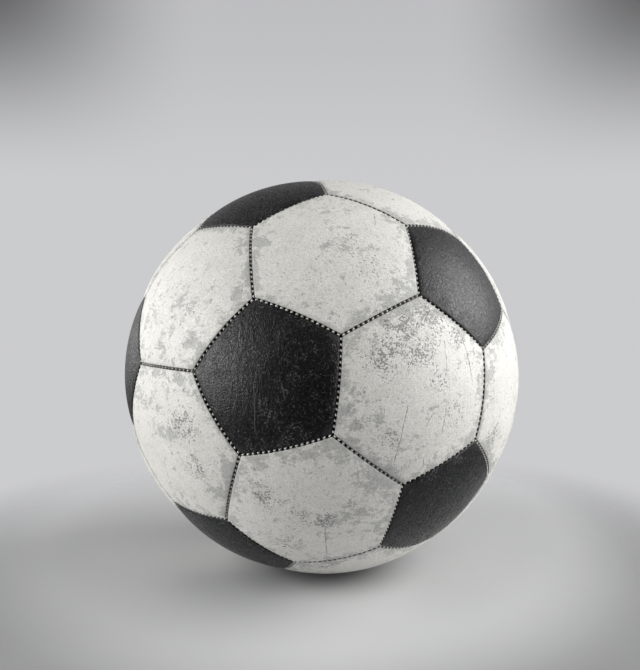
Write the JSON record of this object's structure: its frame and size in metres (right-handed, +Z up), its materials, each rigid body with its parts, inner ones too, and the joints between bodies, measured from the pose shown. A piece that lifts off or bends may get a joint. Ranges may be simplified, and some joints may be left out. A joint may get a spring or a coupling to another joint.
{
  "type": "soccer ball",
  "caption": "Hand-sewn leather soccer ball of black pentagon and white hexagon panels over a rubber bladder, with a needle valve at the back; worn matt surface.",
  "frame": {"origin": "centre of the ball", "axes": "+Z up through the centre of the ball as it lies, -Y towards the front, where one pentagon panel faces, +X to the viewer's right"},
  "size_m": [0.2186, 0.2186, 0.218],
  "materials": {
    "black_cover": "coated leather with fine grain, scuffed, satin",
    "white_cover": "coated leather with fine grain, worn and stained, satin",
    "padding_foam": "soft closed-cell foam, matt",
    "backing_cloth": "plain-weave cotton and polyester cloth",
    "waxed_thread": "twisted polyester thread, waxed",
    "bladder_rubber": "smooth butyl rubber, matt",
    "rubberised_cloth": "cloth soaked in rubber",
    "valve_rubber": "moulded butyl rubber, satin",
    "valve_soft_rubber": "soft moulded rubber, satin"
  },
  "bodies": {
    "ball": {"balance_patch": "bladder_rubber", "bladder": "bladder_rubber", "hexagon_foam": "padding_foam", "hexagon_lining": "backing_cloth", "hexagon_panel_01": "white_cover", "hexagon_panel_02": "white_cover", "hexagon_panel_03": "white_cover", "hexagon_panel_04": "white_cover", "hexagon_panel_05": "white_cover", "hexagon_panel_06": "white_cover", "hexagon_panel_07": "white_cover", "hexagon_panel_08": "white_cover", "hexagon_panel_09": "white_cover", "hexagon_panel_10": "white_cover", "hexagon_panel_11": "white_cover", "hexagon_panel_12": "white_cover", "hexagon_panel_13": "white_cover", "hexagon_panel_14": "white_cover", "hexagon_panel_15": "white_cover", "hexagon_panel_16": "white_cover", "hexagon_panel_17": "white_cover", "hexagon_panel_18": "white_cover", "hexagon_panel_19": "white_cover", "hexagon_seam_thread": "waxed_thread", "pentagon_foam": "padding_foam", "pentagon_lining": "backing_cloth", "pentagon_panel_01": "black_cover", "pentagon_panel_02": "black_cover", "pentagon_panel_03": "black_cover", "pentagon_panel_04": "black_cover", "pentagon_panel_05": "black_cover", "pentagon_panel_06": "black_cover", "pentagon_panel_07": "black_cover", "pentagon_panel_08": "black_cover", "pentagon_panel_09": "black_cover", "pentagon_panel_10": "black_cover", "pentagon_panel_11": "black_cover", "pentagon_panel_12": "black_cover", "pentagon_seam_thread": "waxed_thread", "valve_body": "valve_rubber", "valve_core": "valve_soft_rubber", "valve_panel": "white_cover", "valve_reinforcement": "rubberised_cloth"},
    "valve_lip_left": {"valve_lip_left": "valve_soft_rubber"},
    "valve_lip_right": {"valve_lip_right": "valve_soft_rubber"}
  },
  "joints": [
    {"name": "valve_lip_right_bend", "type": "hinge", "parent": "ball", "child": "valve_lip_right", "pos_m": [0.00391, 0.08307, 0.04713], "axis": [0.9773, 0.0678, -0.2005], "range_deg": [0, 14], "stiffness_Nm_per_rad": 0.0002},
    {"name": "valve_lip_left_bend", "type": "hinge", "parent": "ball", "child": "valve_lip_left", "pos_m": [0.00476, 0.08098, 0.05056], "axis": [-0.9773, -0.0678, 0.2005], "range_deg": [0, 14], "stiffness_Nm_per_rad": 0.0002}
  ],
  "couplings": [
    {"joint": "valve_lip_left_bend", "follows": "valve_lip_right_bend", "ratio": 1}
  ]
}
